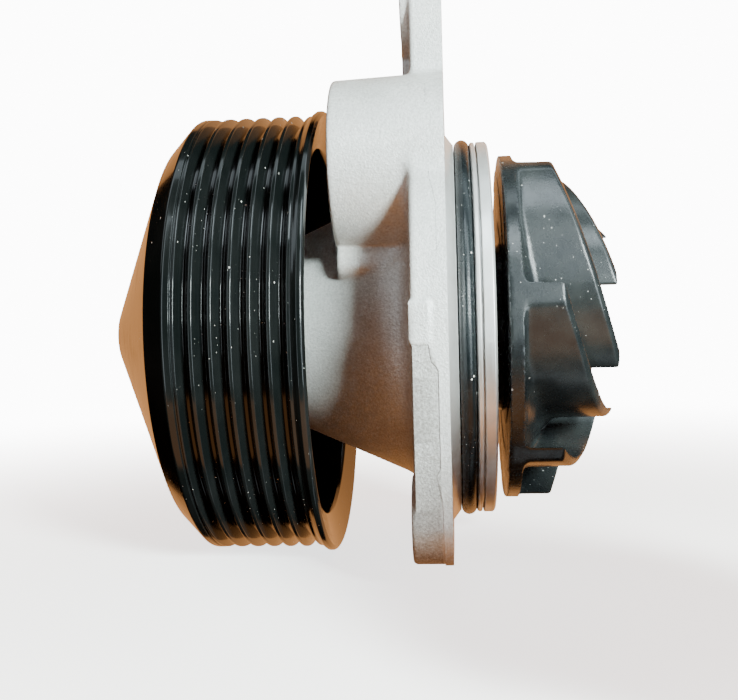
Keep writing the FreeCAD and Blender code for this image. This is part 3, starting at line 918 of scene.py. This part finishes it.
# bush and shaft end in the impeller's eye
o = lathe("impeller_bush_turned", rounded([(9.5, 7.96), (9.5, 10.4, 0.1), (10.1, 11.0, 0.2), (28.6, 11.0, 0.4), (28.6, 7.96, 0.35)], 4), M["brass"], 128)
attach(o, "rotor"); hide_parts("impeller_bush")
g = [(-46.0 + 3.3 * math.sin(t), 10.3 - 3.3 * math.cos(t)) for t in np.linspace(-0.745, 0.745, 13)]
o = lathe("shaft_ground", rounded([(-70.4, 0), (-70.4, 7.36, 0.2), (-69.8, 7.96, 0.2)] + g + [(27.1, 7.96, 0.3), (28.0, 7.1, 0.3), (28.0, 2.3, 0.1), (26.2, 1.0, 0.2), (25.4, 0.0)], 4), M["steel"], 128)
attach(o, "rotor"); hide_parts("shaft")

# cup plug of the reservoir
o = lathe("reservoir_plug_pressed", rounded([(BOSS_X + 0.4, 11.5, 0.3), (BOSS_X + 4.0, 11.5, 0.9), (BOSS_X + 4.0, 0.0), (BOSS_X + 3.0, 0.0), (BOSS_X + 3.0, 10.35, 1.0), (BOSS_X + 0.4, 10.75, 0.25)], 5),
          M["plug_steel"], 128, BY, BZ)
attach(o, "housing"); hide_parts("reservoir_plug")


# ============================================================ camera & stage
FLOOR = -0.0487


def aim(o, target):
    d = Vector(target) - o.location
    o.rotation_euler = d.to_track_quat("-Z", "Y").to_euler()


def area(name, loc, target, size, power, color=(1, 1, 1), shape="RECTANGLE"):
    L = bpy.data.lights.new(name, "AREA")
    L.shape = shape
    L.size, L.size_y = size
    L.energy = power
    L.color = color
    o = link(bpy.data.objects.new(name, L))
    o.location = loc
    aim(o, target)
    o.visible_camera = False
    return o


def emission(name, color, strength):
    m = bpy.data.materials.new(name)
    m.use_nodes = True
    t = m.node_tree
    t.nodes.clear()
    e = t.nodes.new("ShaderNodeEmission")
    e.inputs["Color"].default_value = (*color, 1)
    e.inputs["Strength"].default_value = strength
    out = t.nodes.new("ShaderNodeOutputMaterial")
    t.links.new(e.outputs[0], out.inputs[0])
    return m


def camera_only(o):
    o.visible_diffuse = o.visible_glossy = o.visible_transmission = False
    o.visible_shadow = o.visible_volume_scatter = False


BACK = 12.0
bm = bmesh.new()
bmesh.ops.create_uvsphere(bm, u_segments=48, v_segments=24, radius=6.0)
me = bpy.data.meshes.new("backdrop")
bm.to_mesh(me)
bm.free()
me.materials.append(emission("backdrop_white", (1.0, 1.0, 1.0), BACK))
dome = link(bpy.data.objects.new("backdrop", me))
camera_only(dome)

bm = bmesh.new()
bmesh.ops.create_circle(bm, cap_ends=True, segments=96, radius=5.8)
me = bpy.data.meshes.new("floor_far")
bm.to_mesh(me)
bm.free()
me.materials.append(emission("floor_far_white", (1.0, 1.0, 1.0), BACK))
far = link(bpy.data.objects.new("floor_far", me))
far.location.z = FLOOR - 0.0006
camera_only(far)

bm = bmesh.new()
bmesh.ops.create_circle(bm, cap_ends=True, segments=128, radius=0.62)
me = bpy.data.meshes.new("floor")
bm.to_mesh(me)
bm.free()
fm = bpy.data.materials.new("floor_pale")
fm.use_nodes = True
t = fm.node_tree
b = t.nodes["Principled BSDF"]
b.inputs["Base Color"].default_value = (0.88, 0.88, 0.88, 1)
b.inputs["Roughness"].default_value = 0.7
b.inputs["Specular IOR Level"].default_value = 0.1
b.inputs["Emission Color"].default_value = (1, 1, 1, 1)
b.inputs["Emission Strength"].default_value = 2.2
tc = t.nodes.new("ShaderNodeTexCoord")
ln = t.nodes.new("ShaderNodeVectorMath"); ln.operation = "LENGTH"
t.links.new(tc.outputs["Object"], ln.inputs[0])
mr = t.nodes.new("ShaderNodeMapRange")
mr.interpolation_type = "SMOOTHSTEP"
mr.inputs["From Min"].default_value = 0.07
mr.inputs["From Max"].default_value = 0.42
mr.inputs["To Min"].default_value = 1.0
mr.inputs["To Max"].default_value = 0.0
t.links.new(ln.outputs["Value"], mr.inputs["Value"])
t.links.new(mr.outputs["Result"], b.inputs["Alpha"])
me.materials.append(fm)
floor = link(bpy.data.objects.new("floor", me))
floor.location.z = FLOOR
floor.visible_glossy = floor.visible_diffuse = False

w = bpy.data.worlds.new("studio")
bpy.context.scene.world = w
w.use_nodes = True
w.node_tree.nodes["Background"].inputs["Color"].default_value = (1.0, 0.33, 0.11, 1)
w.node_tree.nodes["Background"].inputs["Strength"].default_value = 0.36
w.cycles_visibility.glossy = False

COOL = (0.80, 0.93, 1.0)
WARM = (1.0, 0.44, 0.15)
key = area("key_right_front", (0.50, -0.72, 0.24), (-0.01, 0, 0.0), (0.18, 0.18), 50, (0.86, 1.0, 0.97))
key.visible_glossy = False
sheen = area("key_sheen", (0.50, -0.72, 0.24), (-0.01, 0, 0.0), (0.30, 0.30), 16, (0.88, 1.0, 1.0))
sheen.visible_diffuse = False
for name, x, wd, pw in (("window_right", 0.55, 0.30, 9.5), ("window_left", -0.50, 0.22, 3.5)):
    o = area(name, (x, -0.60, 0.42), (0.0, 0, 0.42), (wd, 1.5), pw, COOL)
    o.visible_diffuse = False
for name, loc, size, pw in (("top_soft", (0.10, -0.50, 0.75), (0.4, 0.3), 3.0), ("high_right", (0.60, 0.05, 0.80), (0.25, 1.5), 3.2),
                            ("high_left", (-0.60, 0.05, 0.80), (0.25, 1.5), 1.8), ("low_right", (0.60, -0.10, -0.80), (0.25, 1.5), 0.8),
                            ("front_strip", (0.13, -0.85, 0.22), (0.14, 0.8), 1.3)):
    o = area(name, loc, (0.0, 0, 0.0), size, pw, COOL)
    o.visible_diffuse = False
# a flag keeps the key off the lower front of the spigot and the rim
K = Vector((0.50, -0.72, 0.24))
edge = []
for q in (Vector((0.007, -0.039, -0.007)), Vector((-0.003, -0.047, -0.025))):
    edge.append(q + (K - q).normalized() * 0.085)
run = (edge[0] - edge[1]).normalized()
out = run.cross((K - edge[0]).normalized()).normalized()
if out.z > 0:
    out = -out
e0, e1 = edge[1] - run * 0.035, edge[0] + run * 0.004
me = bpy.data.meshes.new("key_flag")
me.from_pydata([e0, e1, e1 + out * 0.06, e0 + out * 0.06], [], [(0, 1, 2, 3)])
me.materials.append(emission("key_flag_black", (0.0, 0.0, 0.0), 0.0))
flag = link(bpy.data.objects.new("key_flag", me))
flag.visible_camera = flag.visible_diffuse = flag.visible_glossy = flag.visible_transmission = False
area("warm_back", (0.0, 0.80, 0.0), (0.0, 0, 0.0), (1.5, 1.8), 10.0, WARM)
area("warm_low", (0.0, -0.50, -0.60), (0.0, 0, 0.0), (1.6, 0.5), 2.6, WARM)

f_px, D, pan, tilt, roll = 957.0, 0.2145, 0.088, -0.0205, -0.0262
cp, sp, ct, st, cr, sr = math.cos(pan), math.sin(pan), math.cos(tilt), math.sin(tilt), math.cos(roll), math.sin(roll)
r = Vector((cp, sp, 0)); fw = Vector((-sp, cp, 0)); up = Vector((0, 0, 1))
fw2 = fw * ct + up * st
up2 = up * ct - fw * st
r3 = r * cr + up2 * sr
up3 = up2 * cr - r * sr
cam = bpy.data.cameras.new("camera")
cam.sensor_fit = "HORIZONTAL"
cam.sensor_width = 36.0
cam.lens = f_px / 738.0 * 36.0
cam.clip_start = 0.01
cam.clip_end = 50
co = link(bpy.data.objects.new("camera", cam))
rot = Matrix((r3, up3, -fw2)).transposed()
co.matrix_world = Matrix.Translation((0.0008, -D, 0.0)) @ rot.to_4x4()
bpy.context.scene.camera = co
